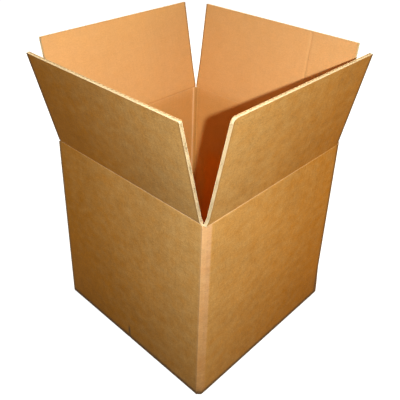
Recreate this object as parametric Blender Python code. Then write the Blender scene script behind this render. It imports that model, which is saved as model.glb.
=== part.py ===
# Open cardboard box: a regular slotted box folded from one sheet of single-wall
# corrugated board, bottom flaps closed, the four top flaps standing open.
# Metres, +Z up. The origin is the centre of the base, on the surface the box stands on.
import math

import bmesh
import bpy
from mathutils import Matrix

# Board
BOARD = 0.0044              # thickness of the board
LINER = 0.00045             # each flat facing
MEDIUM = 0.00040            # the wavy sheet between the facings
FLUTE_PITCH = 0.0079        # one whole wave
CRUSHED = 0.014             # length beside a crease where the waves are pressed flat

# Box, over its outer faces
WIDTH = 0.312               # along X
DEPTH = 0.312               # along Y
CREASE_HEIGHT = 0.3052      # from the base to where the walls end and the flaps begin
CLEARANCE = 0.0003          # between sheets that lie on each other

# Vertical folds: the pressed corner is a flat facet, deeper on the left and right walls
FACET_FRONT = 0.0058        # what it takes off the front and back walls
FACET_SIDE = 0.0118         # what it takes off the left and right walls
BOTTOM_ROUND = 0.003        # rounding where the walls turn under

# Top flaps. The front and back ones close first and hinge a little lower,
# the left and right ones close over them and hinge a board thickness higher.
INNER_DROP = 0.0016         # hinge line of the front and back flaps below the crease height
HINGE_OUTSET = 0.00015      # hinge line outside the wall's outer face
ROOT_GAP = 0.00015          # from the hinge line to the flap's own edge
LIP_GAP = 0.00045           # from the hinge line down to the wall's edge
RIM_CLEAR = 0.00035         # free space round a flap that folds in
SLOT_DROP = 0.0010          # slot bottoms below the edge of the front wall

# Every flap: length from its hinge, lean outwards from upright, how far its two ends
# stop short of the corners (start, end, walking round the box anticlockwise from above),
# and the rounding of its two tip corners
FLAPS = {
    "front_flap": {"turn": 0, "length": 0.1565, "lean": 14.25, "ends": (0.0086, 0.0096), "round": (0.0010, 0.0016)},
    "right_flap": {"turn": 1, "length": 0.1533, "lean": 11.14, "ends": (0.0037, 0.0140), "round": (0.0060, 0.0012)},
    "back_flap": {"turn": 2, "length": 0.1550, "lean": 7.29, "ends": (0.0087, 0.0048), "round": (0.0012, 0.0010)},
    "left_flap": {"turn": 3, "length": 0.1533, "lean": 11.41, "ends": (0.0076, 0.0062), "round": (0.0010, 0.0012)},
}

# Bottom flaps: the front and back ones lie inside, the left and right ones under them
INNER_BOTTOM_END = 0.0070   # side of an inner bottom flap to the outer face beside it
OUTER_BOTTOM_END = 0.0095   # side of an outer bottom flap to the outer face beside it
SEAM = 0.0010               # gap where two bottom flaps meet
FOLD_LIFT = 0.0004          # underside of the inner flaps' folds above the base

# Glued lap: the left wall runs on round the left front corner and is glued inside the front wall
RAW_EDGE = 0.0054           # the front wall's edge from the left outer face
GLUED_FACET = 0.0140        # what the facet behind it takes off the left wall
LAP_LENGTH = 0.040          # from the left outer face
LAP_THICKNESS = 0.0036      # pressed board
LAP_SHORT = 0.007           # its ends stop short of the creases
LAP_SLANT = 0.010           # and slope back by this much

KRAFT = (0.55, 0.28, 0.095, 1.0)
PAST = 0.001                # how far cutters reach past what they cut

X0, X1 = -WIDTH / 2, WIDTH / 2
Y0, Y1 = -DEPTH / 2, DEPTH / 2
FLOOR_STEP = BOARD + CLEARANCE
FLOOR_TOP = FLOOR_STEP + BOARD
INNER_HINGE = CREASE_HEIGHT - INNER_DROP
OUTER_HINGE = INNER_HINGE + BOARD + CLEARANCE
WALL_TOP = OUTER_HINGE - LIP_GAP
SLOT_FLOOR = INNER_HINGE - LIP_GAP - SLOT_DROP


def kraft(name):
    material = bpy.data.materials.new(name)
    material.use_nodes = True
    shader = material.node_tree.nodes["Principled BSDF"]
    shader.inputs["Base Color"].default_value = KRAFT
    shader.inputs["Roughness"].default_value = 0.8
    shader.inputs["Metallic"].default_value = 0.0
    material.diffuse_color = KRAFT
    return material


def place(builder, name, is_cutter=False):
    """Turn a bmesh into an object; a cutter is hidden and never becomes a piece."""
    bmesh.ops.recalc_face_normals(builder, faces=builder.faces)
    mesh = bpy.data.meshes.new(name)
    builder.to_mesh(mesh)
    builder.free()
    thing = bpy.data.objects.new(name, mesh)
    bpy.context.collection.objects.link(thing)
    if is_cutter:
        thing.hide_render = True
        thing.hide_set(True)
        thing.display_type = "WIRE"
    else:
        mesh.materials.append(kraft(name))
    return thing


def skin(builder, loops):
    """Add a solid through loops of equally many points, with a flat face at each end."""
    rows = [[builder.verts.new(point) for point in loop] for loop in loops]
    for lower, upper in zip(rows, rows[1:]):
        for i in range(len(lower)):
            j = (i + 1) % len(lower)
            builder.faces.new((lower[i], lower[j], upper[j], upper[i]))
    builder.faces.new(list(reversed(rows[0])))
    builder.faces.new(rows[-1])


def combine(target, other, operation):
    modifier = target.modifiers.new(other.name, "BOOLEAN")
    modifier.operation = operation
    modifier.solver = "EXACT"
    modifier.object = other


def half_length(turn):
    return WIDTH / 2 if turn % 2 == 0 else DEPTH / 2


def hinge_height(turn):
    return INNER_HINGE if turn % 2 == 0 else OUTER_HINGE


def flap_span(flap):
    """Where a flap starts and ends along its wall, from the wall's middle."""
    half = half_length(flap["turn"])
    return -half + flap["ends"][0], half - flap["ends"][1]


def on_wall(turn, along, depth, z):
    """World point from a place on a wall: along it, in from its outer face, and up.
    Turns 0, 1, 2, 3 are the front, right, back and left wall."""
    if turn == 0:
        return (along, Y0 + depth, z)
    if turn == 1:
        return (X1 - depth, along, z)
    if turn == 2:
        return (-along, Y1 - depth, z)
    return (X0 + depth, -along, z)


def run_along(builder, turn, section, start, end):
    """Add a solid with a section of (depth, height) points between two places on a wall."""
    skin(builder, [[on_wall(turn, u, depth, z) for depth, z in section] for u in (start, end)])


def inset_loop(loop, distance):
    """Move every side of an anticlockwise loop inwards, keeping mitred corners."""
    moved = []
    for i, (x, y) in enumerate(loop):
        before, after = loop[i - 1], loop[(i + 1) % len(loop)]
        in_length = math.hypot(x - before[0], y - before[1])
        out_length = math.hypot(after[0] - x, after[1] - y)
        n1 = (-(y - before[1]) / in_length, (x - before[0]) / in_length)
        n2 = (-(after[1] - y) / out_length, (after[0] - x) / out_length)
        reach = distance / (1 + n1[0] * n2[0] + n1[1] * n2[1])
        moved.append((x + (n1[0] + n2[0]) * reach, y + (n1[1] + n2[1]) * reach))
    return moved


def outer_loop():
    """Outline of the walls from above. At the left front corner the front wall ends in a
    raw edge and the left wall's fold runs in behind it."""
    return [
        (X1 - FACET_FRONT, Y0), (X1, Y0 + FACET_SIDE),
        (X1, Y1 - FACET_SIDE), (X1 - FACET_FRONT, Y1),
        (X0 + FACET_FRONT, Y1), (X0, Y1 - FACET_SIDE),
        (X0, Y0 + GLUED_FACET), (X0 + RAW_EDGE, Y0 + BOARD), (X0 + RAW_EDGE, Y0),
    ]


def inner_loop():
    """The outline moved in by the board; the glued corner ends on the front wall's back."""
    moved = inset_loop(outer_loop(), BOARD)
    (x1, y1), (x2, y2) = moved[6], moved[7]
    meets_front = x1 + (x2 - x1) * (Y0 + BOARD - y1) / (y2 - y1)
    return moved[:7] + [(meets_front, Y0 + BOARD)]


def make_box_body():
    outline = outer_loop()
    levels = [(BOTTOM_ROUND, 0.0), (BOTTOM_ROUND * 0.3, BOTTOM_ROUND * 0.3), (0.0, BOTTOM_ROUND), (0.0, WALL_TOP)]
    builder = bmesh.new()
    skin(builder, [[(x, y, z) for x, y in inset_loop(outline, inset)] for inset, z in levels])
    body = place(builder, "box_body")

    builder = bmesh.new()
    skin(builder, [[(x, y, z) for x, y in inner_loop()] for z in (-PAST, WALL_TOP + PAST)])
    combine(body, place(builder, "inside", is_cutter=True), "DIFFERENCE")
    combine(body, make_bottom_flaps(), "UNION")
    combine(body, make_glued_lap(), "UNION")
    for rim_cutter in make_rim_cutters():
        combine(body, rim_cutter, "DIFFERENCE")
    return body


def make_bottom_flaps():
    """The outer pair lies flat; the inner pair's folds climb over it. Their ends by the
    corners stand free, as the slots between the flaps leave them."""
    root = BOARD - PAST
    builder = bmesh.new()
    for turn in (1, 3):
        half = half_length(turn)
        section = [(root, 0.0), (WIDTH / 2 - SEAM / 2, 0.0), (WIDTH / 2 - SEAM / 2, BOARD), (root, BOARD)]
        run_along(builder, turn, section, -half + OUTER_BOTTOM_END, half - OUTER_BOTTOM_END)
    for turn in (0, 2):
        half = half_length(turn)
        tip = DEPTH / 2 - SEAM / 2
        section = [
            (root, FOLD_LIFT), (BOARD + FOLD_LIFT, FOLD_LIFT), (OUTER_BOTTOM_END - CLEARANCE, FLOOR_STEP),
            (tip, FLOOR_STEP), (tip, FLOOR_TOP), (root, FLOOR_TOP),
        ]
        run_along(builder, turn, section, -half + INNER_BOTTOM_END, half - INNER_BOTTOM_END)
    return place(builder, "bottom_flaps", is_cutter=True)


def make_glued_lap():
    low, high = FLOOR_TOP + LAP_SHORT, SLOT_FLOOR - LAP_SHORT
    root = X0 + RAW_EDGE + PAST
    tip = X0 + LAP_LENGTH
    plan = [(root, low), (tip, low + LAP_SLANT), (tip, high - LAP_SLANT), (root, high)]
    builder = bmesh.new()
    skin(builder, [[(x, y, z) for x, z in plan] for y in (Y0 + BOARD / 2, Y0 + BOARD + LAP_THICKNESS)])
    return place(builder, "glued_lap", is_cutter=True)


def make_rim_cutters():
    """Bring each wall to its own hinge height, bevel it inwards so that its flap can fold
    in, and open the slots at the corners."""
    deep = BOARD + FACET_SIDE
    over = WALL_TOP + PAST
    cutters = []
    for pair, name in (((0, 2), "front_and_back_rims"), ((1, 3), "left_and_right_rims")):
        builder = bmesh.new()
        for flap in FLAPS.values():
            turn = flap["turn"]
            if turn not in pair:
                continue
            lip = hinge_height(turn) - LIP_GAP
            foot = BOARD + RIM_CLEAR
            ledge = min(lip - foot, SLOT_FLOOR)
            section = [(-PAST, lip + PAST), (foot, lip - foot), (foot, ledge), (deep, ledge), (deep, over), (-PAST, over)]
            if ledge == lip - foot:
                section.pop(2)
            start, end = flap_span(flap)
            run_along(builder, turn, section, start - RIM_CLEAR, end + RIM_CLEAR)
        cutters.append(place(builder, name, is_cutter=True))

    builder = bmesh.new()
    flaps = sorted(FLAPS.values(), key=lambda flap: flap["turn"])
    for turn in (0, 2):
        before, here, after = flaps[turn - 1], flaps[turn], flaps[turn + 1]
        half = half_length(turn)
        first, last = flap_span(here)
        section = [(-PAST, SLOT_FLOOR), (before["ends"][1], SLOT_FLOOR), (before["ends"][1], over), (-PAST, over)]
        run_along(builder, turn, section, -half - PAST, first)
        section = [(-PAST, SLOT_FLOOR), (after["ends"][0], SLOT_FLOOR), (after["ends"][0], over), (-PAST, over)]
        run_along(builder, turn, section, last, half + PAST)
    cutters.append(place(builder, "corner_slots", is_cutter=True))
    return cutters


def flap_outline(start, end, length, root, rounds):
    """Outline of a flap in its own plane, from its root up to rounded tip corners."""
    points = [(start, root), (end, root)]
    for corner_x, radius, first in ((end, rounds[1], 0.0), (start, rounds[0], 90.0)):
        side = 1 if corner_x == end else -1
        centre = (corner_x - side * radius, length - radius)
        for step in range(4):
            angle = math.radians(first + step * 30.0)
            points.append((centre[0] + radius * math.cos(angle), centre[1] + radius * math.sin(angle)))
    return points


def flute_section(centre, pitch, faces_outside):
    """Hollow between one facing and one wave of the medium, as (along, depth) points."""
    swing = BOARD / 2 - LINER
    touch = math.acos((swing - MEDIUM / 2) / swing)
    section = []
    for phase in (touch, math.pi * 0.5, math.pi * 0.83, math.pi * 1.17, math.pi * 1.5, math.tau - touch):
        rise = swing - swing * math.cos(phase) - MEDIUM / 2
        section.append((centre + (phase / math.tau - 0.5) * pitch, LINER + max(rise, 0.0)))
    if faces_outside:
        return section
    return [(along, BOARD - depth) for along, depth in section]


def make_flap(name, flap):
    """A flap in its own frame: X along the hinge, Y inwards, Z away from the hinge."""
    start, end = flap_span(flap)
    length = flap["length"]

    builder = bmesh.new()
    loops = []
    for depth in (0.0, BOARD):
        outline = flap_outline(start, end, length, ROOT_GAP + depth, flap["round"])
        loops.append([(x, HINGE_OUTSET + depth, z) for x, z in outline])
    skin(builder, loops)
    thing = place(builder, name)

    waves = round((end - start) / FLUTE_PITCH)
    pitch = (end - start) / waves
    builder = bmesh.new()
    for half_step in range(2 * waves + 1):
        section = flute_section(start + half_step * pitch / 2, pitch, half_step % 2 == 1)
        skin(builder, [[(x, HINGE_OUTSET + depth, z) for x, depth in section] for z in (CRUSHED, length + PAST)])
    flutes = place(builder, f"{name}_flutes", is_cutter=True)
    combine(thing, flutes, "DIFFERENCE")

    turn = flap["turn"]
    hinge = Matrix.Translation(on_wall(turn, 0.0, -HINGE_OUTSET, hinge_height(turn)))
    seat = hinge @ Matrix.Rotation(turn * math.pi / 2, 4, "Z") @ Matrix.Rotation(math.radians(flap["lean"]), 4, "X")
    thing.matrix_world = seat
    flutes.matrix_world = seat


for old in list(bpy.data.objects):
    bpy.data.objects.remove(old)

make_box_body()
for flap_name, flap in FLAPS.items():
    make_flap(flap_name, flap)
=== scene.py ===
import math
import bmesh
import bpy
import numpy as np
from mathutils import Matrix


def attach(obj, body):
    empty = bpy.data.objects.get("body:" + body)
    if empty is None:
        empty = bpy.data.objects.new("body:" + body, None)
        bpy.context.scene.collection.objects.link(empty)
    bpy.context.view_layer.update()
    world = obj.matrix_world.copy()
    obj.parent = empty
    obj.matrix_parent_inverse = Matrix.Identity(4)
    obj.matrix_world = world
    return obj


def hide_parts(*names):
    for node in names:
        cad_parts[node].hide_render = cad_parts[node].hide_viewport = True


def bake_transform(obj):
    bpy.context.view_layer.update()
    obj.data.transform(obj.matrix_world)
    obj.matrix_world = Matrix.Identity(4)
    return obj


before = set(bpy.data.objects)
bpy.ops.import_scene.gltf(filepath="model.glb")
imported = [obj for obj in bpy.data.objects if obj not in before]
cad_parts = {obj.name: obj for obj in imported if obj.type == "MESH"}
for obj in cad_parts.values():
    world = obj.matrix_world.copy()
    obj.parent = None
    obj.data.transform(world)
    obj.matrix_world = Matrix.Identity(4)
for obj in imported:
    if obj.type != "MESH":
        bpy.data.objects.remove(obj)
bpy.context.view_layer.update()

# Kraft board
# The whole carton is one sheet of corrugated board: two brown kraft facings glued to a wavy
# medium. The facings are matte and cloudy, with fibres along the sheet, the odd dark or
# pale speck and faint ribs over the waves. Where the knife cut, the fibres are raw and pale.

# Sizes are in millimetres down to the floor's section. Every mesh carries where it is on the
# sheet, as "board": along, up and through in metres. Its marks, 0 where there is none, are
# "cut" for a raw edge, "inside" for the inner facing, the third for worn fibres and a painted
# highlight on the folds, "dark" for a dent and painted shade, "deep" for redder paper and
# painted shade, and "dim" for duller paper and painted shade.
MARKS = ("cut", "inside", "worn_and_highlight", "dark", "deep", "dim")
MM = 0.001
PITCH = 7.9         # one whole wave
BOARD = 4.4         # thickness of the board
LINER = 0.45        # each facing


def srgb(red, green, blue):
    """A colour given as screen values from 11 to 255, made linear."""
    return (*[((value / 255 + 0.055) / 1.055) ** 2.4 for value in (red, green, blue)], 1.0)


class Socket:
    """An output in a material's node tree; arithmetic on it adds Math nodes."""

    def __init__(self, tree, output=None):
        self.tree, self.output = tree, output

    def make(self, kind, settings, inputs, output=0):
        node = self.tree.nodes.new(kind)
        for key, value in settings.items():
            setattr(node, key, value)
        for key, value in inputs.items():
            if isinstance(value, Socket):
                self.tree.links.new(value.output, node.inputs[key])
            else:
                node.inputs[key].default_value = value
        return Socket(self.tree, node.outputs[output])

    def maths(self, operation, *values):
        return self.make("ShaderNodeMath", {"operation": operation}, dict(enumerate(values)))

    def __add__(self, other):
        return self.maths("ADD", self, other)

    def __radd__(self, other):
        return self.maths("ADD", other, self)

    def __sub__(self, other):
        return self.maths("SUBTRACT", self, other)

    def __rsub__(self, other):
        return self.maths("SUBTRACT", other, self)

    def __mul__(self, other):
        return self.maths("MULTIPLY", self, other)

    def __rmul__(self, other):
        return self.maths("MULTIPLY", other, self)

    def or_more(self, other):
        """The larger of the two."""
        return self.maths("MAXIMUM", self, other)

    def sine(self):
        return self.maths("SINE", self)

    def between(self, low, high):
        """0 below low, 1 above high, smooth between."""
        settings = {"interpolation_type": "SMOOTHSTEP"}
        return self.make("ShaderNodeMapRange", settings, {"Value": self, "From Min": low, "From Max": high})

    def attribute(self, name, output="Fac"):
        return self.make("ShaderNodeAttribute", {"attribute_name": name}, {}, output)

    def scaled(self, x, y, z):
        return self.make("ShaderNodeVectorMath", {"operation": "MULTIPLY"}, {0: self, 1: (x, y, z)})

    def noise(self, size, detail, roughness=0.5):
        inputs = {"Vector": self, "Scale": size, "Detail": detail, "Roughness": roughness}
        return self.make("ShaderNodeTexNoise", {}, inputs, "Fac")

    def blend(self, start, end):
        """A colour from start to end as this value goes from 0 to 1."""
        return self.make("ShaderNodeMix", {"data_type": "RGBA"}, {0: self, 6: start, 7: end}, 2)

    def shade(self, colour):
        """The colour made lighter or darker by this value."""
        if not isinstance(colour, Socket):
            colour = colour[:3]
        return self.make("ShaderNodeVectorMath", {"operation": "SCALE"}, {0: colour, "Scale": self})


def kraft_board():
    outer_brown, outer_rust_and_shade = srgb(171, 127, 71), srgb(162, 100, 19)
    inner_tan, inner_ochre_and_shade, inner_shade_orange = srgb(207, 157, 101), srgb(203, 139, 53), srgb(222, 143, 45)
    dark_speck, pale_fleck = srgb(82, 50, 22), srgb(226, 182, 124)
    outer_fibres_and_highlight, inner_fibres_and_highlight = srgb(212, 166, 134), srgb(235, 197, 152)
    raw_fibres, dent_and_shade_brown = srgb(211, 188, 148), srgb(76, 52, 26)

    material = bpy.data.materials.new("kraft_board")
    material.use_nodes = True
    tree = material.node_tree
    shader = tree.nodes["Principled BSDF"]
    start = Socket(tree)
    place = start.attribute("board", "Vector").scaled(1000, 1000, 1000)
    cut, inside, worn_and_highlight, dark, deep, dim = [start.attribute(mark) for mark in MARKS]

    # patterns, each a noise of so many waves a millimetre
    clouds = place.noise(0.011, 3.0)
    patches = place.noise(0.09, 3.0)
    hues = place.scaled(1.0, 1.3, 1.0).noise(0.05, 3.0, 0.6)
    grain = place.scaled(0.8, 1.1, 1.0).noise(0.42, 3.0, 0.75)
    fibres = place.scaled(0.35, 1.5, 1.0).noise(0.6, 4.0, 0.65)
    lines = place.scaled(0.03, 1.0, 1.0).noise(0.45, 2.0)
    specks = place.noise(1.1, 1.0).between(0.72, 0.80)
    flecks = place.scaled(1.0, 1.3, 1.0).noise(0.83, 1.0).between(0.735, 0.80)

    # the two facings, redder and darker where painted shade is given, then what is worn or
    # painted as a highlight, what is cut, and a dent or painted shade
    mottle = 0.30 * (clouds - 0.5) + 0.34 * (patches - 0.5) + 0.95 * (grain - 0.5)
    streaks = 0.36 * (fibres - 0.5) + 0.14 * (lines - 0.5)
    # dim darkens duller paper and painted shade alike
    tone = 1.0 + (1 - 0.70 * inside) * (mottle + streaks) - dim
    # redder is the paper's own random redness plus the deep mark, which is mostly painted shade: redder and
    # darker away from the lens and towards the bottom outside, and low in the box inside
    redder = deep + (1.1 - 0.8 * inside) * (hues - 0.5)
    outer_facing = redder.blend(outer_brown, outer_rust_and_shade)
    # where it is highest, low in the box, the inner facing takes a painted orange shade
    inner_facing = redder.between(0.6, 1.0).blend(redder.blend(inner_tan, inner_ochre_and_shade), inner_shade_orange)
    facing = tone.shade(inside.blend(outer_facing, inner_facing))
    facing = (specks * 0.35).blend(facing, dark_speck)
    facing = (flecks * 0.30).blend(facing, pale_fleck)
    # worn fibres, and a painted highlight on the folds' facets, ridges and beads, mix in this paler colour
    worn_and_highlight_colour = inside.blend(outer_fibres_and_highlight, inner_fibres_and_highlight)
    facing = (worn_and_highlight * (0.55 + 0.9 * patches)).blend(facing, worn_and_highlight_colour)
    raw = (0.54 + 0.72 * grain).shade(raw_fibres)
    # the dark mark darkens the front wall's dent and gives painted shade at the foot, outlines, slots,
    # hollows and torn gaps, all in this brown
    patchy = dark * (0.45 + 1.1 * grain.between(0.36, 0.62))
    colour = patchy.blend(cut.blend(facing, raw), dent_and_shade_brown)
    tree.links.new(colour.output, shader.inputs["Base Color"])

    roughness = 0.72 + 0.16 * fibres - 0.05 * worn_and_highlight
    tree.links.new(roughness.output, shader.inputs["Roughness"])
    shader.inputs["Specular IOR Level"].default_value = 0.15

    # faint ribs over the waves, fibres and a slow unevenness
    along = start.make("ShaderNodeSeparateXYZ", {}, {0: place})
    ribs = (along * (math.tau / PITCH)).sine()
    height = 0.030 * ribs * (1 - cut) + 0.05 * fibres + 0.10 * patches
    bump = start.make("ShaderNodeBump", {}, {"Strength": 1.0, "Distance": MM, "Height": height}, "Normal")
    tree.links.new(bump.output, shader.inputs["Normal"])
    return material


KRAFT_BOARD = kraft_board()


# Walls
# One long strip of board, folded at four vertical creases and glued back on itself: it starts
# as a raw edge at the left front corner, runs round front, right, back and left, and ends as
# the glue lap inside the front wall. At each fold the board is pressed to a flat facet with
# a sharp ridge on the front or back wall and a soft turn into the side wall.
HALF = 156.0            # half the box's width and depth, over the outer faces
CREASE = 305.2          # height of the pressed crease under the top flaps
WALL_RIM = 305.0        # where the walls' mesh ends and the flaps' meshes begin
FACET = 5.8             # what a facet takes off the front and back walls
FACET_SIDE = 11.8       # and off the left and right walls
FACET_LENGTH = 13.1     # across the facet
FACET_PEAK = 7.0        # from its ridge to where it grows squarest
RAW_EDGE = 5.4          # the front wall's edge from the left outer face
GLUED_FACET = 14.0      # what the facet behind it takes off the left wall
LAP_END = 40.0          # tip of the glue lap from the left outer face
LAP_THICK = 3.7         # pressed board
LAP_GLUE = 0.05         # between the lap and the front wall
LAP_LOW = 16.0          # the lap stops short of the bottom
LAP_HIGH = 12.0         # and of the crease
LAP_SLANT = 10.0        # and slopes back by this much
UNDER_ROUND = 1.0       # rounding under the walls
SQUARER = 2.6           # how far the facets round out to squarer corners at the bottom
SQUARER_HEIGHT = 70.0   # and how far up that reaches
BOW = 0.5               # how far the walls bulge in their middle
SLOT_DROP = 1.6         # how far the slots between the flaps dip below the rim
FAR_SLOT_DROP = 0.3     # and the one farthest from the lens
FRONT_MARK_X = 1.6      # where the dark dent at the foot of the front wall is, along X
FRONT_MARK_HEIGHT = 29.0    # and how far up it reaches
NEAR_CORNER = 2 * HALF  # the fold nearest to the lens, along the strip
FAR_CORNER = 6 * HALF   # the fold farthest from it
WALL_LENGTH = 2 * HALF  # of each wall along the strip
FLAP_HEIGHT = 155.0     # length of a top flap, for its colours only
CUT_OFF = 22.0          # about what the facets take off the way round the box

# where each top flap starts and ends, from the corner where its wall starts
FLAP_ENDS = {"front": (8.6, 9.6), "right": (3.7, 14.0), "back": (8.7, 4.8), "left": (7.6, 6.2)}
# how much wider each is at its crease, at its start and end, and how far up that reaches
FLARE = {"front": (0, 1.0, 11), "right": (2.6, 0, 11), "back": (0, 1.7, 50), "left": (0.7, 0, 50)}

# places through the board for a cut edge, 0 outside to 1 inside, closer at the facings
THROUGH = np.concatenate([
    [0, LINER, LINER + 0.1],
    np.linspace(LINER + 0.5, BOARD - LINER - 0.5, 3),
    [BOARD - LINER - 0.1, BOARD - LINER, BOARD],
]) / BOARD

WELD_STEPS = 1e4        # steps in a millimetre; points in the same step become one
SHARP_ANGLE = 40        # edges that turn by more degrees are drawn sharp


def smooth(x, low, high):
    """0 below low, 1 above high, with t * t * (3 - 2 * t) between."""
    t = np.clip((x - low) / (high - low), 0, 1)
    return t * t * (3 - 2 * t)


def hill(x, centre, width):
    """1 at the centre, falling off on both sides as a bell curve."""
    return np.exp(-(((x - centre) / width) ** 2))


def on_sheet(along, up, through):
    """Places on the sheet, one for each point of a grid."""
    return np.stack(np.broadcast_arrays(along, up, through), axis=-1)


def weld(grids):
    """Join grids of points into one mesh: points in the same place become one, with the
    stronger of their marks. Each grid is a dict of arrays with the same rows and columns."""
    points, boards, marks, faces, first = [], [], [], [], 0
    for grid in grids:
        rows, columns = grid["point"].shape[:2]
        count = rows * columns
        index = first + np.arange(count).reshape(rows, columns)
        corners = (index[:-1, :-1], index[:-1, 1:], index[1:, 1:], index[1:, :-1])
        faces.append(np.stack([corner.ravel() for corner in corners], axis=1))
        points.append(grid["point"].reshape(count, 3))
        boards.append(grid["board"].reshape(count, 3))
        spread = [np.broadcast_to(grid.get(mark, 0.0), (rows, columns)).ravel() for mark in MARKS]
        marks.append(np.stack(spread, axis=1))
        first += count
    points, boards, marks, faces = map(np.concatenate, (points, boards, marks, faces))
    spots = np.round(points * WELD_STEPS).astype(np.int64)
    _, kept, same = np.unique(spots, axis=0, return_index=True, return_inverse=True)
    same = same.reshape(-1)
    strongest = np.zeros((len(kept), len(MARKS)))
    np.maximum.at(strongest, same, marks)
    return points[kept], boards[kept], dict(zip(MARKS, strongest.T)), same[faces]


def turn_outwards(mesh):
    """Make neighbouring faces agree, with all of them facing out of the closed board."""
    shell = bmesh.new()
    shell.from_mesh(mesh)
    bmesh.ops.recalc_face_normals(shell, faces=shell.faces)
    if shell.calc_volume(signed=True) < 0:
        bmesh.ops.reverse_faces(shell, faces=shell.faces)
    shell.to_mesh(mesh)
    shell.free()


def board_mesh(name, grids):
    """A closed piece of board from welded grids. A square with two corners in one place
    becomes a triangle, and one with more of them is left out."""
    points, boards, marks, faces = weld(grids)
    twin = faces == np.roll(faces, 1, axis=1)
    twins = twin.sum(axis=1)
    squares = faces[twins == 0]
    triangles = faces[twins == 1][~twin[twins == 1]].reshape(-1, 3)
    mesh = bpy.data.meshes.new(name)
    mesh.from_pydata((points * MM).tolist(), [], squares.tolist() + triangles.tolist())
    board = mesh.attributes.new("board", "FLOAT_VECTOR", "POINT")
    board.data.foreach_set("vector", (boards * MM).astype(np.float32).ravel())
    for mark, values in marks.items():
        mesh.attributes.new(mark, "FLOAT", "POINT").data.foreach_set("value", values.astype(np.float32))
    mesh.validate()
    turn_outwards(mesh)
    mesh.polygons.foreach_set("use_smooth", np.ones(len(mesh.polygons), bool))
    mesh.set_sharp_from_angle(angle=math.radians(SHARP_ANGLE))
    mesh.materials.append(KRAFT_BOARD)
    piece = bpy.data.objects.new(name, mesh)
    bpy.context.collection.objects.link(piece)
    return piece


def strip_corners():
    """Corners of the strip's outer and inner face seen from above. An inner corner is where
    the two legs' inner faces cross, each one thickness inside its outer face."""
    lo, hi = -HALF, HALF
    lap = lo + BOARD + LAP_GLUE
    outer = np.array([
        (lo + RAW_EDGE, lo), (hi - FACET, lo), (hi, lo + FACET_SIDE), (hi, hi - FACET_SIDE),
        (hi - FACET, hi), (lo + FACET, hi), (lo, hi - FACET_SIDE), (lo, lo + GLUED_FACET),
        (lo + RAW_EDGE, lap), (lo + LAP_END, lap),
    ])
    step = np.diff(outer, axis=0)
    step /= np.linalg.norm(step, axis=1)[:, None]
    left = np.stack([-step[:, 1], step[:, 0]], axis=1)
    thick = np.array([BOARD] * 8 + [LAP_THICK])
    inner = [outer[0] + left[0] * BOARD]
    for i in range(1, len(outer) - 1):
        legs = np.array([left[i - 1], left[i]])
        inner.append(outer[i] + np.linalg.solve(legs, [thick[i - 1], thick[i]]))
    inner.append(outer[-1] + left[-1] * LAP_THICK)
    return outer, np.array(inner)


OUTER_CORNERS, INNER_CORNERS = strip_corners()
RIDGES = (1, 4, 5)              # corners where a facet meets the front or back wall
SOFT_TURNS = (2, 3, 6, 7)       # corners where it meets a side wall
# length over which each turn is rounded
OUTER_ROUNDS = (0, 0.5, 2.2, 2.2, 0.5, 0.5, 2.2, 4.0, 0.8, 0)
INNER_ROUNDS = (0, 1.0, 2.2, 2.2, 1.0, 1.0, 2.2, 2.0, 0.8, 0)


def to_corners(points, corners, chosen):
    """Distance of every point to each of the chosen corners."""
    return np.stack([np.linalg.norm(points - corners[i], axis=1) for i in chosen])


def strip_face(corners, rounds):
    """Points along one face of the strip. Each straight is cut into even steps, closer near
    its ends and across the front wall's mark. Each turn is a quadratic curve between two
    points on its legs. The steps go by the outer face, so both faces have as many points."""
    lengths = np.linalg.norm(np.diff(OUTER_CORNERS, axis=0), axis=1)
    curve = np.linspace(0, 1, 9)[1:-1, None]
    points = []
    for i, length in enumerate(lengths):
        a, b = corners[i], corners[i + 1]
        along = (b - a) / np.linalg.norm(b - a)
        first, last = a + along * rounds[i], b - along * rounds[i + 1]
        near = np.array([0.012, 0.03, 0.06]) if length > 30 else np.array([0.1])
        t = np.concatenate([np.linspace(0, 1, max(8, int(length / 6.0)) + 1), near, 1 - near])
        if i == 0:
            mark = FRONT_MARK_X + np.linspace(-5, 5, 15)
            t = np.concatenate([t, (mark - first[0]) / (last[0] - first[0])])
        points.append(first + (last - first) * np.sort(t)[:, None])
        if i + 2 < len(corners):
            after = (corners[i + 2] - b) / np.linalg.norm(corners[i + 2] - b)
            next_first = b + after * rounds[i + 1]
            points.append((1 - curve) ** 2 * last + 2 * curve * (1 - curve) * b + curve**2 * next_first)
    return np.concatenate(points)


def along_strip(outer):
    """Distance of each point along the strip, stretched so that each wall counts in full
    although the facets cut its corners."""
    distance = np.concatenate([[0], np.cumsum(np.linalg.norm(np.diff(outer, axis=0), axis=1))])
    return distance * (4 * WALL_LENGTH / (4 * WALL_LENGTH - CUT_OFF))


def rim_height(points):
    """Height of the walls' top edge: the crease under the flaps, lower in the slots."""
    x, y = points[:, 0], points[:, 1]
    reach = np.full(len(points), -1e9)
    for turn, name in enumerate(("front", "right", "back", "left")):
        along = (x, y, -x, -y)[turn]
        depth = (y + HALF, HALF - x, HALF - y, x + HALF)[turn]
        start = -HALF + FLAP_ENDS[name][0] - FLARE[name][0]
        end = HALF - FLAP_ENDS[name][1] + FLARE[name][1]
        inside = np.minimum(along - start, end - along)
        reach = np.maximum(reach, np.where(depth < FACET + 0.1, inside, -1e9))
    drop = np.where((x < 0) & (y > 0), FAR_SLOT_DROP, SLOT_DROP)
    return WALL_RIM - drop * (1 - smooth(reach, -0.6, 0.0))


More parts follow.
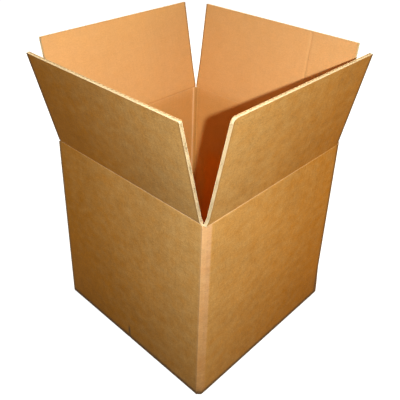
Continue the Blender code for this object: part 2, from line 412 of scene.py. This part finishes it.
def wall_heights(outer):
    """The rows' heights on a plain wall, and the height of every point: evenly between the
    strip's bottom and top edge, with a slot's dip taken up by the topmost rows."""
    low = np.zeros(len(outer))
    high = rim_height(outer)
    lap_start = np.argmin(np.linalg.norm(outer - OUTER_CORNERS[8], axis=1))
    into_lap = np.clip((np.arange(len(outer)) - lap_start + 2) / 3.0, 0, 1)
    slant = np.clip((outer[:, 0] + HALF - RAW_EDGE) / (LAP_END - RAW_EDGE), 0, 1) * LAP_SLANT
    low += into_lap * (LAP_LOW + slant)
    high -= into_lap * (LAP_HIGH + slant)

    rise = np.array([0, 0.1, 0.3, 0.6, 1.0, 2, 3, 4, 5.5, 8, 12, 16, 20, 22, 24, 30])
    middle = np.linspace(42, 275, 20)
    fall = np.array([0, 0.25, 0.5, 0.8, 1.2, 1.7, 2.4, 3.4, 5, 8, 13, 20])
    rows = np.concatenate([rise, middle, (WALL_RIM - fall)[::-1]])[:, None]
    share = rows / WALL_RIM
    return rows, rows + low * (1 - share) - (WALL_RIM - high) * share**8


def bulge(outer, z):
    """How far the walls bow out: half a sine up the wall times a parabola along it."""
    x, y = np.abs(outer[:, 0]), np.abs(outer[:, 1])
    from_middle = np.minimum(x, y) / (HALF - FACET_SIDE)
    return BOW * np.sin(np.pi * np.clip(z / WALL_RIM, 0, 1)) * np.clip(1 - from_middle**2, 0, 1)


def pressed_outside(up):
    """How deep the crease is pressed into the outer facing: a bell curve across it."""
    return 0.5 * hill(up, CREASE, 1.3)


def pressed_inside(up):
    """How deep the crease is pressed into the inner facing: a bell curve across it."""
    return 0.3 * hill(up, CREASE, 1.5)


def from_near_corner(along):
    """0 at the fold nearest to the lens, 1 at the next folds on both sides and beyond."""
    return np.clip(np.abs(along - NEAR_CORNER) / WALL_LENGTH, 0, 1)


def outside_falloff_shade(along, up):
    """Painted shade as a redder, darker outer facing: more away from the near corner, up to
    the next corner on each side, less again beyond it, and on the walls more towards the bottom."""
    below = np.clip(1 - up / WALL_RIM, 0, 1)
    away = np.abs(along - NEAR_CORNER) / WALL_LENGTH
    beyond = 1 - 0.65 * smooth(away, 1, 1.4) * smooth(4 - away, 1, 1.4)
    away = np.where(away > 1, beyond, away)
    root = np.clip((WALL_RIM + FLAP_HEIGHT - up) / FLAP_HEIGHT, 0, 1) * np.clip(1.6 * away, 0, 1)
    on_front = along < NEAR_CORNER
    flap_red = np.where(on_front, away, 0.08 + 0.62 * away) + 0.3 * root
    wall_red = np.where(on_front, 0.78, 0.70) * away + np.where(on_front, 0.50, 0.46) * below
    return np.where(up > WALL_RIM, flap_red, wall_red)


def inside_redness_and_shade(along, up):
    """How much redder the inner facing is: a little on the flaps, towards the far corner, and
    below the crease painted shade that grows down the walls, most low in the box, apart from
    a strip at the far corner."""
    below = np.clip(1 - up / WALL_RIM, 0, 1)
    from_far_corner = np.abs(along - FAR_CORNER)
    low = smooth(WALL_RIM - up, 105, 160) * smooth(from_far_corner, 12, 50)
    under = 0.42 + 0.06 * smooth(WALL_RIM - up, 0, 45) + 0.35 * below * (0.3 + 0.7 * low) + 0.4 * low
    over = 0.18 * np.clip(1 - from_far_corner / WALL_LENGTH, 0, 1)
    return over + (under - over) * smooth(WALL_RIM + 20 - up, 0, 40)


def inside_crease_shade(up):
    """Painted shade on the inner facing about the crease: most just below it, fading in above it."""
    return 0.11 * smooth(WALL_RIM + 15 - up, 0, 38) - 0.06 * smooth(WALL_RIM - up, 10, 60)


def outer_face(outer, inward, along, rows, z):
    """Each point is the strip's own, moved along the wall's normal: in where the wall turns
    under, along the crease and at the mark, out on the bulge, on the low ridges beside the
    facets and where the facets grow squarer towards the bottom."""
    x, y = outer[:, 0], outer[:, 1]
    to_ridges = to_corners(outer, OUTER_CORNERS, RIDGES)
    ridge = hill(to_ridges, 0, 0.7).sum(axis=0)
    to_ridge = to_ridges.min(axis=0)
    below_round = np.clip(UNDER_ROUND - rows, 0, None)
    under = UNDER_ROUND - np.sqrt(np.maximum(UNDER_ROUND**2 - below_round**2, 0))
    mark = hill(x, FRONT_MARK_X, 2.3) * (y < -HALF + 1)
    mark = mark * (1 - smooth(rows, FRONT_MARK_HEIGHT - 9, FRONT_MARK_HEIGHT))
    rise, fall = to_ridge / FACET_PEAK, (FACET_LENGTH - to_ridge) / (FACET_LENGTH - FACET_PEAK)
    facet_middle = np.clip(np.minimum(rise, fall), 0, 1)
    squarer = (1 - smooth(rows, 0, SQUARER_HEIGHT)) * facet_middle * (np.abs(x) > HALF - FACET)
    push = under + pressed_outside(rows) - 0.22 * ridge + 0.35 * mark - bulge(outer, z) - SQUARER * squarer
    flat = outer[None] + inward[None] * push[..., None]

    # the folds are worn and carry a painted highlight, most on the ridges; the foot and the far
    # folds are darkened with painted shade
    from_front = HALF - np.abs(y)
    on_facet = (np.abs(x) > HALF - FACET + 0.3) * (1 - smooth(from_front, 10.0, FACET_SIDE + 1.0))
    fading = 1 - 0.68 * np.clip(1 - rows / WALL_RIM, 0, 1)
    away = from_near_corner(along)
    # wear plus a painted highlight: the facets and ridges are made paler, less towards the bottom
    fold_wear_and_highlight = (0.30 * on_facet + 0.35 * ridge) * fading
    crease_wear = 0.42 * hill(rows, CREASE, 0.6) * (1 - 0.92 * away)
    front_far_fold = hill(x, RAW_EDGE - HALF, 3.5) * (y < 1 - HALF)
    right_far_fold = hill(y, HALF - FACET_SIDE, 4.0) * (x > HALF - 3)
    foot = 0.82 * (1 - smooth(rows, 5.0, 9.5))
    foot_and_fold_shade = np.maximum(foot, 0.85 * np.maximum(front_far_fold, right_far_fold))
    side_wall = np.abs(x) > HALF - 3
    near_end = side_wall * np.clip(1 - 3 * away, 0, 1)
    redder_above = (0.07 * side_wall + 0.10 * near_end) * smooth(z, 150, 305)
    # painted shade: the walls grow duller towards the bottom
    lower_wall_shade = 0.20 * smooth(CREASE - z, 110, 320)
    dull_facet = 0.10 * on_facet * (1 - ridge) * fading
    return {
        "point": np.concatenate([flat, z[..., None]], axis=2),
        "board": on_sheet(along, z, push),
        "worn_and_highlight": np.clip(fold_wear_and_highlight + crease_wear, 0, 1),
        "dark": np.clip(0.85 * mark + foot_and_fold_shade, 0, 0.9),
        "deep": outside_falloff_shade(along, z) + redder_above + 0.18 * on_facet,
        "dim": lower_wall_shade + dull_facet + 0.10 * near_end * smooth(z, 40, 160),
    }


def inner_face(inner, inward, along, rows, z, bow):
    """Each point is the strip's own, moved along the wall's normal: out at the crease and on
    the bulge, in on the beads. Each fold is a narrow bead with a painted highlight, then a
    strip of painted shade."""
    to_turn = to_corners(inner, INNER_CORNERS, SOFT_TURNS).min(axis=0)
    bead = hill(to_turn, 0, 1.5)
    from_side = HALF - np.abs(inner[:, 0])
    crevice_shade = ((from_side > BOARD + 0.1) & (from_side < 17)) * hill(to_turn, 5.8, 3.4)
    push = pressed_inside(rows) - 0.4 * bead + bow
    flat = inner[None] - inward[None] * push[..., None]
    return {
        "point": np.concatenate([flat, z[..., None]], axis=2),
        "board": on_sheet(along, z, BOARD),
        "inside": 1.0,
        # the bead's paleness is a painted highlight, and the strip beside it is painted shade
        "worn_and_highlight": 0.5 * bead,
        "deep": inside_redness_and_shade(along, z) + 0.12 * crevice_shade,
        "dim": inside_crease_shade(z) + 0.28 * crevice_shade,
    }


def wall_edge(face, back, border, cut, turned):
    """An edge of the board: straight lines from the outer face's border to the inner one's.
    turned is how far the sheet's length runs on through the board at a cut end."""
    steps = THROUGH[:, None, None]
    point = face["point"][border] * (1 - steps) + back["point"][border] * steps
    board = face["board"][border] * (1 - steps) + back["board"][border] * steps
    return {"point": point, "board": board + np.array([turned, 0, 0]) * steps, "cut": cut}


def make_walls():
    """Grids over the strip: outer face, inner face, bottom and top edges and both ends."""
    outer = strip_face(OUTER_CORNERS, OUTER_ROUNDS)
    inner = strip_face(INNER_CORNERS, INNER_ROUNDS)
    along = along_strip(outer)
    tangent = np.gradient(outer, axis=0)
    tangent /= np.linalg.norm(tangent, axis=1)[:, None]
    inward = np.stack([-tangent[:, 1], tangent[:, 0]], axis=1)
    rows, z = wall_heights(outer)
    face = outer_face(outer, inward, along, rows, z)
    back = inner_face(inner, inward, along, rows, z, bulge(outer, z))
    return board_mesh("folded_walls", [
        face, back,
        wall_edge(face, back, np.s_[0], 0.0, 0),
        wall_edge(face, back, np.s_[-1], 1.0, 0),
        wall_edge(face, back, np.s_[:, 0], 1.0, BOARD),
        wall_edge(face, back, np.s_[:, -1], 1.0, BOARD),
    ])


walls = make_walls()
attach(walls, "box")
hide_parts("box_body")


# Bottom flaps
# The closed bottom: an outer pair from the side walls that meets in the middle and a
# crossing pair from the front and back walls on top of it. They are the same board, folded
# under with a small radius, their tips cut by the knife.
LAYER_GAP = 0.3         # between the two pairs
ROOT = HALF - 3.2       # where each leaves its wall, from the middle of the box
TIP = 0.5               # half the gap where two tips meet
OUTER_SIDE = HALF - 9.5     # sides of the outer pair
INNER_SIDE = HALF - 7.0     # sides of the inner pair
PATTERN_SHIFT = 700.0   # along the sheet, so that they don't repeat the walls' pattern


def bottom_flap(name, x_ends, y_ends, z_ends, cut_sides):
    """A closed slab, each of its two faces and four sides a grid of straight rows, closer
    near the ends. cut_sides names the sides that the knife cut."""
    u = np.concatenate([[0, 0.004], np.linspace(0.03, 0.97, 24), [0.996, 1]])
    (x0, x1), (y0, y1), (z0, z1) = x_ends, y_ends, z_ends
    xs, ys = x0 + (x1 - x0) * u, y0 + (y1 - y0) * u
    x, y = np.meshgrid(xs, ys)
    grids = []
    for z, inside in ((z0, 0.0), (z1, 1.0)):
        point = np.stack(np.broadcast_arrays(x, y, z), axis=2)
        board = on_sheet(y + PATTERN_SHIFT, x, z)
        grids.append({"point": point, "board": board, "inside": inside, "deep": 0.9})
    level = np.linspace(z0, z1, 6)[:, None]
    for side, fixed, moving in (("x0", x0, ys), ("x1", x1, ys), ("y0", y0, xs), ("y1", y1, xs)):
        place = (fixed, moving, level) if side[0] == "x" else (moving, fixed, level)
        point = np.stack(np.broadcast_arrays(*place), axis=2)
        cut = 1.0 if side in cut_sides else 0.0
        grids.append({"point": point, "board": on_sheet(moving, level, fixed), "cut": cut})
    return board_mesh(name, grids)


lower_layer = (0.0, BOARD)
upper_layer = (BOARD + LAYER_GAP, 2 * BOARD + LAYER_GAP)
outer_sides = (-OUTER_SIDE, OUTER_SIDE)
inner_sides = (-INNER_SIDE, INNER_SIDE)
bottom = [
    bottom_flap("outer_bottom_left", (-ROOT, -TIP), outer_sides, lower_layer, ("x1", "y0", "y1")),
    bottom_flap("outer_bottom_right", (TIP, ROOT), outer_sides, lower_layer, ("x0", "y0", "y1")),
    bottom_flap("inner_bottom_front", inner_sides, (-ROOT, -TIP), upper_layer, ("x0", "x1", "y1")),
    bottom_flap("inner_bottom_back", inner_sides, (TIP, ROOT), upper_layer, ("x0", "x1", "y0")),
]
for piece in bottom:
    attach(piece, "box")


# Top flaps
# Each is the wall's own board carried on past a pressed crease and standing open. Its tip is
# cut across the waves, so the flutes show as a row of arches; its two sides are cut
# along them, so the two facings show as pale lines with the torn medium between.

# each flap's hinge height, length from its hinge, degrees it leans outwards, rounding of its
# two tip corners, and how much duller its outer face is than the walls
FLAPS = {
    "front": {"hinge": 303.6, "length": 156.5, "lean": 14.25, "round": (1.0, 1.6), "dim": 0.16},
    "right": {"hinge": 308.3, "length": 153.3, "lean": 11.14, "round": (6.0, 1.2), "dim": 0.14},
    "back": {"hinge": 303.6, "length": 155.0, "lean": 7.29, "round": (1.2, 1.0), "dim": 0.0},
    "left": {"hinge": 308.3, "length": 153.3, "lean": 11.41, "round": (1.0, 1.2), "dim": 0.0},
}
AXIS_OUT = 0.15         # hinge line outside the wall's outer face
TUCK = 0.3              # the root ends this far below the walls' rim
BEND = 3.0              # length over which the board bends from the wall into the flap
HOLLOW = 0.5            # how far the two gaps beside the medium fall below the tip
MEDIUM = 0.42           # thickness of the wavy sheet
TORN_BACK = 0.9         # how far the paper in a side edge is torn back
CRUSHED_FLUTE = -69.3   # where one wave of the back flap is pressed flat, along its hinge

# the side of each flap that is farthest from the lens: 0 its start, 1 its end
FAR_SIDE = {"front": 0, "right": 1, "back": 1, "left": 0}
# a side edge's torn gap as 0 closed to 1 open, how much painted shade the whole edge takes,
# and how much the gap takes
PLAIN_EDGE = (1.0, 0.0, 0.45)
PALE_EDGE = (0.2, 0.0, 0.45)
DARK_EDGE = (1.0, 0.08, 0.60)
SIDE_EDGES = {
    "front": (PLAIN_EDGE, DARK_EDGE), "right": (PLAIN_EDGE, PLAIN_EDGE),
    "back": (PALE_EDGE, PLAIN_EDGE), "left": (PLAIN_EDGE, PALE_EDGE),
}
# how much of that tear each of the edge's ten lines takes: none at the facings, all of it
# just inside them, less at the medium
TEAR = np.array([0, 0, 1, 0.7, 0.7, 0.7, 0.7, 1, 0, 0])[:, None]


def flap_columns(start, end, rounds):
    """Places along the hinge: twelve a wave, finer at the rounded tip corners."""
    waves = round((end - start) / PITCH)
    near = np.array([0.6, 1.2, 1.8, 2.6, 3.6])
    even = np.concatenate([np.linspace(start, end, waves * 12 + 1), start + near, end - near])
    turn = np.radians(np.linspace(0, 90, 7))
    first = start + np.concatenate([[0, 0.15], rounds[0] * (1 - np.cos(turn[1:]))])
    last = end - np.concatenate([[0, 0.15], rounds[1] * (1 - np.cos(turn[1:]))])
    even = even[(even > first.max() + 0.2) & (even < last.min() - 0.2)]
    return np.unique(np.round(np.concatenate([first, even, last]), 6))


def tip_drop(x, start, end, rounds):
    """How far the rounded tip corners fall below the tip line, as two quarter circles."""
    drop = np.zeros_like(x)
    for edge, radius in ((x - start, rounds[0]), (end - x, rounds[1])):
        gap = np.clip(radius - edge, 0, radius)
        drop += radius - np.sqrt(radius**2 - gap**2)
    return drop


def flap_rows(top, reach):
    """The rows' heights above the walls' rim, and the height of every point: the rows' own
    up to 11 mm, and from there stretched so that the last one follows the tip's line."""
    rise = np.array([-TUCK, 0, 0.2, 0.45, 0.75, 1.1, 1.5, 2.0, 2.6, 3.4, 4.5, 6, 8, 11])
    middle = np.linspace(16, reach - 5, 14)
    fall = np.array([2.5, 1.2, 0.5, 0.12, 0])
    rows = np.concatenate([rise, middle, reach - fall])
    stretched = 11 + (rows[:, None] - 11) * (top - 11) / (reach - 11)
    return rows, np.where(rows[:, None] < 11.5, rows[:, None], stretched)


def flute_lines(x, start, end):
    """Depths in the board of a cut edge's ten lines, and how hollow each is. The medium is a
    sine of whole waves that dies out at both ends; the lines beside it and beside the
    facings bound the two gaps, which are the hollower the wider they are."""
    waves = round((end - start) / PITCH)
    near_end = np.clip(np.minimum(x - start, end - x) / 2.5, 0, 1)
    swing = (BOARD / 2 - LINER - MEDIUM / 2) * near_end
    medium = BOARD / 2 + swing * np.sin((x - start) / (end - start) * waves * math.tau)
    outer_gap = medium - MEDIUM / 2 - LINER
    inner_gap = BOARD - LINER - medium - MEDIUM / 2
    outer_lip, inner_lip = np.minimum(0.08, outer_gap / 2), np.minimum(0.08, inner_gap / 2)
    depths = np.stack(np.broadcast_arrays(
        0.0, LINER, LINER + outer_lip, medium - MEDIUM / 2 - outer_lip, medium - MEDIUM / 2,
        medium + MEDIUM / 2, medium + MEDIUM / 2 + inner_lip, BOARD - LINER - inner_lip, BOARD - LINER, BOARD,
    ))
    hollows = np.zeros_like(depths)
    hollows[2:4] = smooth(outer_gap, 0.1, 1.4)
    hollows[6:8] = smooth(inner_gap, 0.1, 1.4)
    return depths, hollows


def flap_marks(side, x, start, end, q, top, along):
    """Marks of the outer and the inner face: worn along the crease, tip and sides, a thin
    outline of painted shade along both sides, darkest along the side that is farthest from
    the lens, and painted shade along the inner face's sides, tip and far slot."""
    up = q + WALL_RIM
    away = from_near_corner(along)
    from_side = np.minimum(x - start, end - x)
    from_far_side = np.abs(x - (start, end)[FAR_SIDE[side]])
    tip_wear = 0.6 * hill(q, top, 0.5)
    side_wear = 0.6 * hill(from_side, 0, 0.4)
    crease_wear = 0.6 * hill(up, CREASE, 0.55) * (1 - 0.92 * away)
    outside_seen = side in ("front", "right")
    # the outline is painted shade, strongest along the far side of the flaps seen from outside
    outline = np.maximum(0.95 * outside_seen * hill(from_far_side, 0.8, 3.6), 0.3 * hill(from_side, 1.2, 1.2))
    near_end = (side == "right") * np.clip(1 - 3 * away, 0, 1)
    outer = {
        "worn_and_highlight": np.clip(crease_wear + tip_wear + side_wear, 0, 1),
        "deep": outside_falloff_shade(along, up),
        "dim": (FLAPS[side]["dim"] + 0.09 * near_end) * smooth(q, 0, 3),
        "dark": smooth(q, 1, 6) * outline,
    }
    # painted shade at the far slot, along the inner face's sides and just below its tip
    far_slot_shade = 0.45 * (not outside_seen) * hill(from_far_side, 1.0, 1.7)
    from_far_corner = np.clip(np.abs(along - FAR_CORNER) / WALL_LENGTH, 0, 1)
    inner = {
        "inside": 1.0,
        "worn_and_highlight": 0.3 * tip_wear,
        "deep": inside_redness_and_shade(along, up),
        "dim": 0.12 * from_far_corner + inside_crease_shade(up),
        "dark": far_slot_shade + 0.10 * hill(from_side, 0.6, 1.2) + 0.15 * hill(q, top - 0.4, 0.9),
    }
    return outer, inner


def make_flap(side, turn, seed):
    """Grids over the flap: two faces, tip, root and both sides. Near the crease a point
    moves smoothly from straight over the wall to the flap's own leaning plane."""
    flap = FLAPS[side]
    start, end = -HALF + FLAP_ENDS[side][0], HALF - FLAP_ENDS[side][1]
    x = flap_columns(start, end, flap["round"])
    lean = math.radians(flap["lean"])
    base = WALL_RIM - flap["hinge"]
    reach = flap["length"] - base
    phases = np.random.default_rng(seed).uniform(0, math.tau, 2)

    def place(u, q, d):
        """World point for along, up from the rim and depth in, as arrays of one shape."""
        wall_y, wall_z = AXIS_OUT + d, base + q
        flap_y = wall_y * math.cos(lean) - wall_z * math.sin(lean)
        flap_z = wall_y * math.sin(lean) + wall_z * math.cos(lean)
        share = smooth(q, 0, BEND)
        inward = wall_y + (flap_y - wall_y) * share - AXIS_OUT - HALF
        height = wall_z + (flap_z - wall_z) * share + flap["hinge"]
        spots = [(u, inward), (-inward, u), (-u, -inward), (inward, -u)][turn]
        return np.stack(np.broadcast_arrays(spots[0], spots[1], height), axis=-1)

    top = reach - tip_drop(x, start, end, flap["round"])
    rows, q = flap_rows(top, reach)
    depths, hollows = flute_lines(x, start, end)
    tip_q = top - HOLLOW * hollows

    # both faces: pressed in at the crease, the tucked edge drawn in behind the walls' rim,
    # and beside the slots' feet a little wider
    tucked = np.clip(-q / TUCK, 0, 1) * 0.12
    outer_depth = pressed_outside(q + WALL_RIM) + tucked
    inner_depth = BOARD - pressed_inside(q + WALL_RIM) - tucked
    if side == "back":
        below_tip = 1 - smooth(q, reach - 2.6, reach - 0.6)
        inner_depth = inner_depth - 0.55 * hill(x, CRUSHED_FLUTE, 2.1) * smooth(q, 3, 12) * below_tip
    start_flare, end_flare, flare_height = FLARE[side]
    flare = end_flare * (1 - smooth(end - x, 0, 25)) - start_flare * (1 - smooth(x - start, 0, 25))
    wide = x + flare * (1 - smooth(q, 0, flare_height))
    along = wide + HALF + turn * WALL_LENGTH
    outer, inner = place(wide, q, outer_depth), place(wide, q, inner_depth)
    outer_marks, inner_marks = flap_marks(side, x, start, end, q, top, along)
    grids = [
        {"point": outer, "board": on_sheet(along, q + WALL_RIM, 0.0), **outer_marks},
        {"point": inner, "board": on_sheet(along, q + WALL_RIM, BOARD), **inner_marks},
    ]

    # the tip's row of arches, crushed by the knife towards the inner facing, with painted shade
    # in the hollows
    crushed = smooth(depths, 2.9, 4.1)
    grids.append({
        "point": place(x, tip_q, depths), "board": on_sheet(along[0], tip_q + WALL_RIM, depths),
        "cut": 1 - 0.1 * hollows - 0.65 * crushed, "dark": 0.05 * hollows + 0.12 * crushed,
    })

    # the root, a straight band hidden in the wall's rim
    share = depths[:, :1, None] / BOARD
    root = outer[0] * (1 - share) + inner[0] * share
    root_board = on_sheet(along[0], q[0] + WALL_RIM, depths[:, :1])
    grids.append({"point": root, "board": root_board, "cut": 1.0})

    # both sides: the paper between the facings is torn back unevenly, less towards the ends,
    # and the torn gap is darkened with painted shade
    taper = smooth(rows, 0, 4) * (1 - smooth(rows, reach - 2, reach))
    uneven = 0.65 + 0.35 * np.sin(rows / 9.0 + phases[0]) * np.sin(rows / 3.1 + phases[1])
    torn = TEAR * taper * uneven
    for column, sign, look in ((0, 1, SIDE_EDGES[side][0]), (-1, -1, SIDE_EDGES[side][1])):
        open_gap, edge_shade, gap_shade = look
        up, depth = q[:, column], depths[:, column, None]
        share = depth / BOARD
        hollow_share = HOLLOW * hollows[:, column, None] / top[column]
        side_q = up * (1 - hollow_share * smooth(up, 0, reach))
        side_q[:, -1] = tip_q[:, column]
        through = outer_depth[:, column] * (1 - share) + inner_depth[:, column] * share
        point = place(wide[:, column] + sign * TORN_BACK * torn, side_q, through)
        side_board = on_sheet(along[0, column] + depth, side_q + WALL_RIM, through)
        gap = torn * open_gap
        dark = edge_shade + gap_shade * gap
        grids.append({"point": point, "board": side_board, "cut": 1 - 0.2 * gap, "dark": dark})
    return board_mesh(f"{side}_flap_board", grids)


for turn, side in enumerate(("front", "right", "back", "left")):
    piece = make_flap(side, turn, 40 + turn)
    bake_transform(piece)
    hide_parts(f"{side}_flap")


# Floor, lamps and camera
# A plain pale floor that the lens sees as white, a small key lamp just beside the lens as in
# the photograph, a warm weak one from the right and a wide one from behind on the left.
FLOOR_HALF = 8.0                        # metres, as are all places in this section
LOOK_AT = (0, 0, 0.25)                  # where the lamps point
LENS = (0.50695, -0.55743, 0.70990)
LENS_TURN = (1.93696, 0.80493, -0.46031)    # axis of the lens's turn, as long as its angle
PICTURE = 400                           # pixels each way
FOCAL_LENGTH = 553.90                   # pixels
PICTURE_MIDDLE = (184.49, 140.47)       # pixel that the lens looks straight at
SENSOR = 36.0                           # width of the sensor, millimetres


def seen(tree):
    """1 for rays from the lens, a reflection or through glass, 0 for the rest."""
    start = Socket(tree)
    kinds = ("Camera", "Glossy", "Transmission")
    lens, mirror, glass = [start.make("ShaderNodeLightPath", {}, {}, f"Is {kind} Ray") for kind in kinds]
    return lens.or_more(mirror.or_more(glass))


def pale_floor():
    material = bpy.data.materials.new("pale_floor")
    material.use_nodes = True
    tree = material.node_tree
    shader = tree.nodes["Principled BSDF"]
    shader.inputs["Base Color"].default_value = (0.22, 0.22, 0.22, 1)
    shader.inputs["Roughness"].default_value = 0.9
    shader.inputs["Specular IOR Level"].default_value = 0.0
    shader.inputs["Emission Color"].default_value = (1, 1, 1, 1)
    place = Socket(tree).make("ShaderNodeTexCoord", {}, {}, "Object")
    distance = place.make("ShaderNodeVectorMath", {"operation": "LENGTH"}, {0: place}, "Value")
    glow = seen(tree) * (0.90 + 0.10 * distance.between(0.6, 1.5))
    tree.links.new(glow.output, shader.inputs["Emission Strength"])
    return material


floor_mesh = bpy.data.meshes.new("floor")
floor_corners = [(x * FLOOR_HALF, y * FLOOR_HALF, 0) for x, y in ((-1, -1), (1, -1), (1, 1), (-1, 1))]
floor_mesh.from_pydata(floor_corners, [], [(0, 1, 2, 3)])
floor_mesh.materials.append(pale_floor())
floor = bpy.data.objects.new("floor", floor_mesh)
bpy.context.collection.objects.link(floor)

world = bpy.data.worlds.new("studio")
bpy.context.scene.world = world
world.use_nodes = True
sky = world.node_tree.nodes["Background"]
world.node_tree.links.new((0.07 + 0.93 * seen(world.node_tree)).output, sky.inputs["Strength"])
sky.inputs["Color"].default_value = (1, 1, 1, 1)


def lamp(name, place, size, watts, colour):
    """A round area lamp that looks at the middle of the box: its back points away from it."""
    data = bpy.data.lights.new(name, "AREA")
    data.shape = "DISK"
    data.size = size
    data.energy = watts
    data.color = colour
    holder = bpy.data.objects.new(name, data)
    holder.location = place
    back = np.array(place) - LOOK_AT
    back /= np.linalg.norm(back)
    level = np.cross((0, 0, 1), back)
    level /= np.linalg.norm(level)
    axes = np.stack([level, np.cross(back, level), back], axis=1)
    holder.rotation_mode = "QUATERNION"
    holder.rotation_quaternion = Matrix(axes.tolist()).to_quaternion()
    bpy.context.collection.objects.link(holder)


lamp("key", (0.549, -0.514, 0.711), 0.013, 10.8, (0.93, 1, 1))
lamp("warm_right", (1.35, 0.85, 0.42), 0.7, 9.0, (1.0, 0.76, 0.2))
lamp("back_left", (-0.85, 0.85, 1.25), 0.8, 66.0, (1.0, 0.87, 0.68))

camera_data = bpy.data.cameras.new("camera")
camera_data.sensor_width = SENSOR
camera_data.lens = FOCAL_LENGTH / PICTURE * SENSOR
camera_data.shift_x = (PICTURE / 2 - PICTURE_MIDDLE[0]) / PICTURE
camera_data.shift_y = (PICTURE_MIDDLE[1] - PICTURE / 2) / PICTURE
camera = bpy.data.objects.new("camera", camera_data)
angle = float(np.linalg.norm(LENS_TURN))
world_to_view = Matrix.Rotation(angle, 3, (np.array(LENS_TURN) / angle).tolist())
view_to_world = world_to_view.transposed() @ Matrix(((1, 0, 0), (0, -1, 0), (0, 0, -1)))
camera.matrix_world = Matrix.Translation(LENS) @ view_to_world.to_4x4()
bpy.context.collection.objects.link(camera)
bpy.context.scene.camera = camera
bpy.context.scene.view_settings.view_transform = "Standard"
